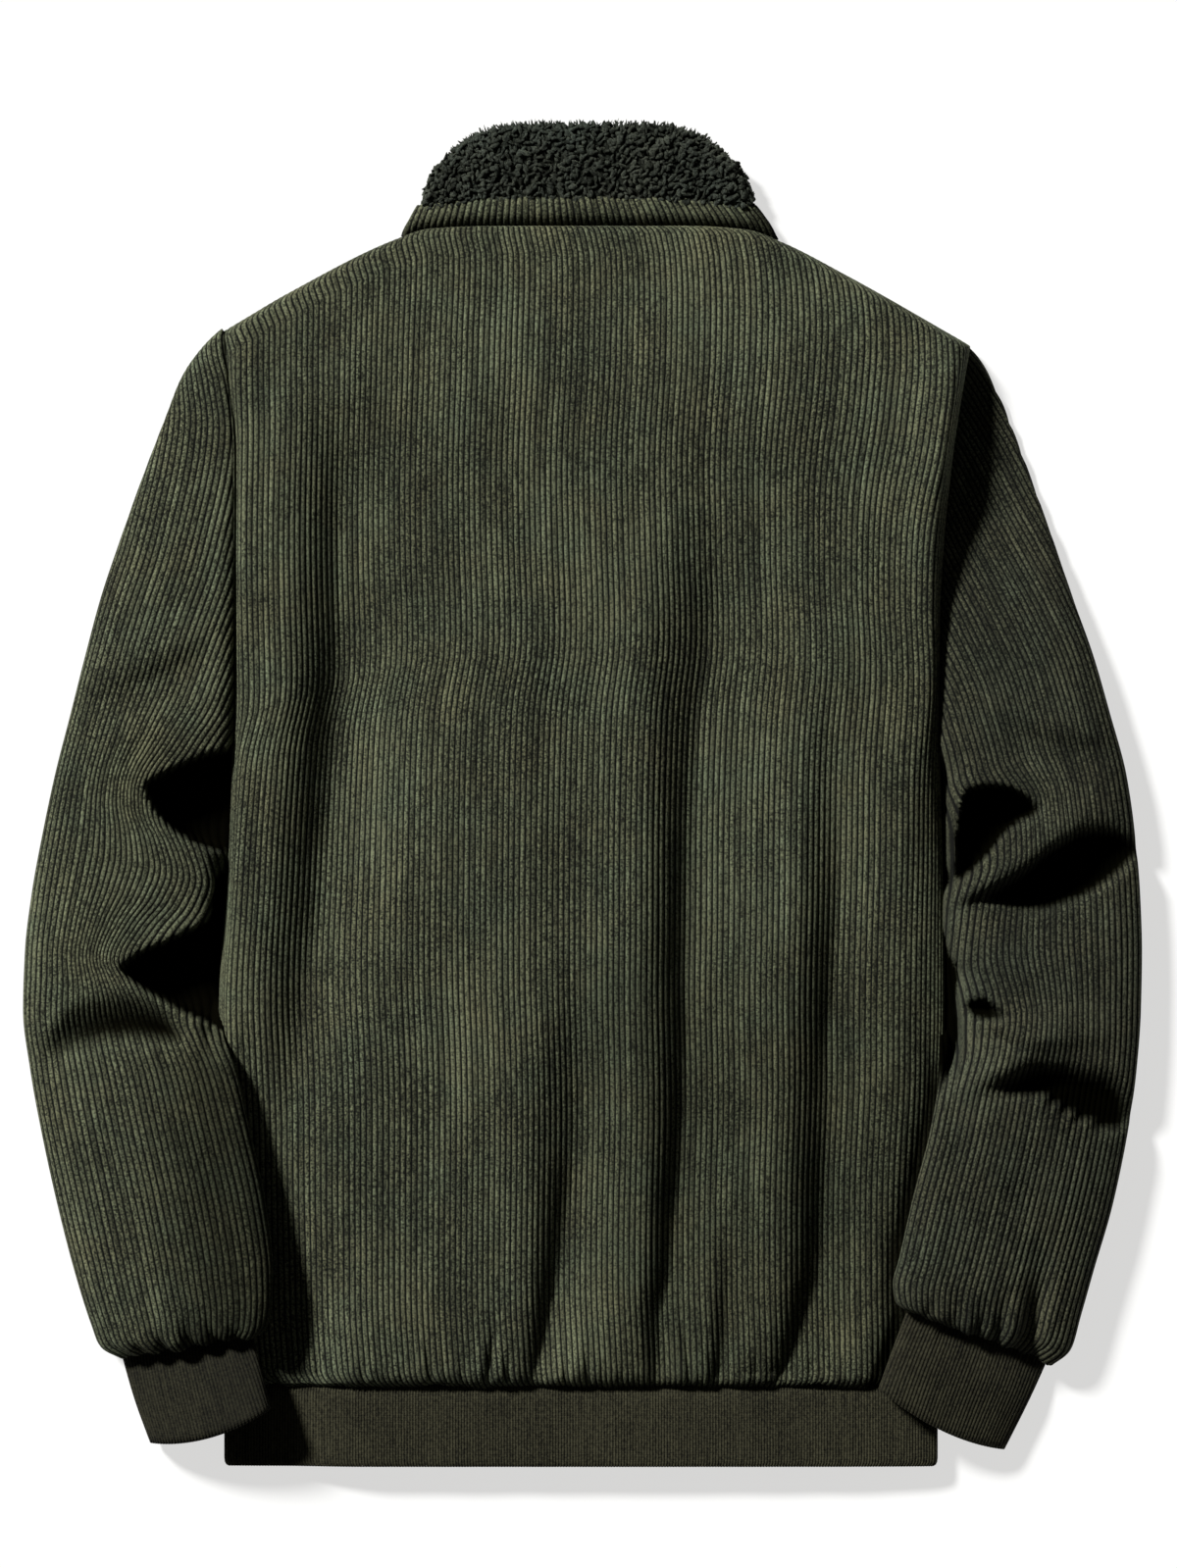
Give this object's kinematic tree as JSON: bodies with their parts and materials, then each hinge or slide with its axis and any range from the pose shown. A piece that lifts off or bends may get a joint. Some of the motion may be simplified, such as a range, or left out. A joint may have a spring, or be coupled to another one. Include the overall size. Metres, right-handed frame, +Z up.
{
  "type": "jacket",
  "caption": "Long-sleeved corduroy jacket with a stand collar lined in fleece and rib-knit cuffs and hem, laid flat face down with its back up.",
  "frame": {"origin": "on the floor plane, under the centre of the jacket's bounding box", "axes": "+Z up out of the jacket's back, +Y from the hem to the collar, +X to the wearer's right"},
  "size_m": [0.6255, 0.754, 0.0457],
  "materials": {
    "corduroy": "dark olive wide-wale cotton corduroy, velvety and matt",
    "rib_knit": "brown-olive rib knit, matt",
    "fleece": "dark green-grey teddy fleece with small curls, matt",
    "button": "dark brown button, satin"
  },
  "bodies": {
    "root": {"back": "corduroy", "front_left": "corduroy", "front_right": "corduroy", "placket": "corduroy", "sleeve_left": "corduroy", "sleeve_right": "corduroy", "collar_band": "corduroy", "collar_fleece": "fleece", "hem_rib": "rib_knit", "cuff_left": "rib_knit", "cuff_right": "rib_knit", "button_1": "button", "button_2": "button", "button_3": "button", "button_4": "button", "button_5": "button", "button_6": "button"}
  },
  "joints": []
}
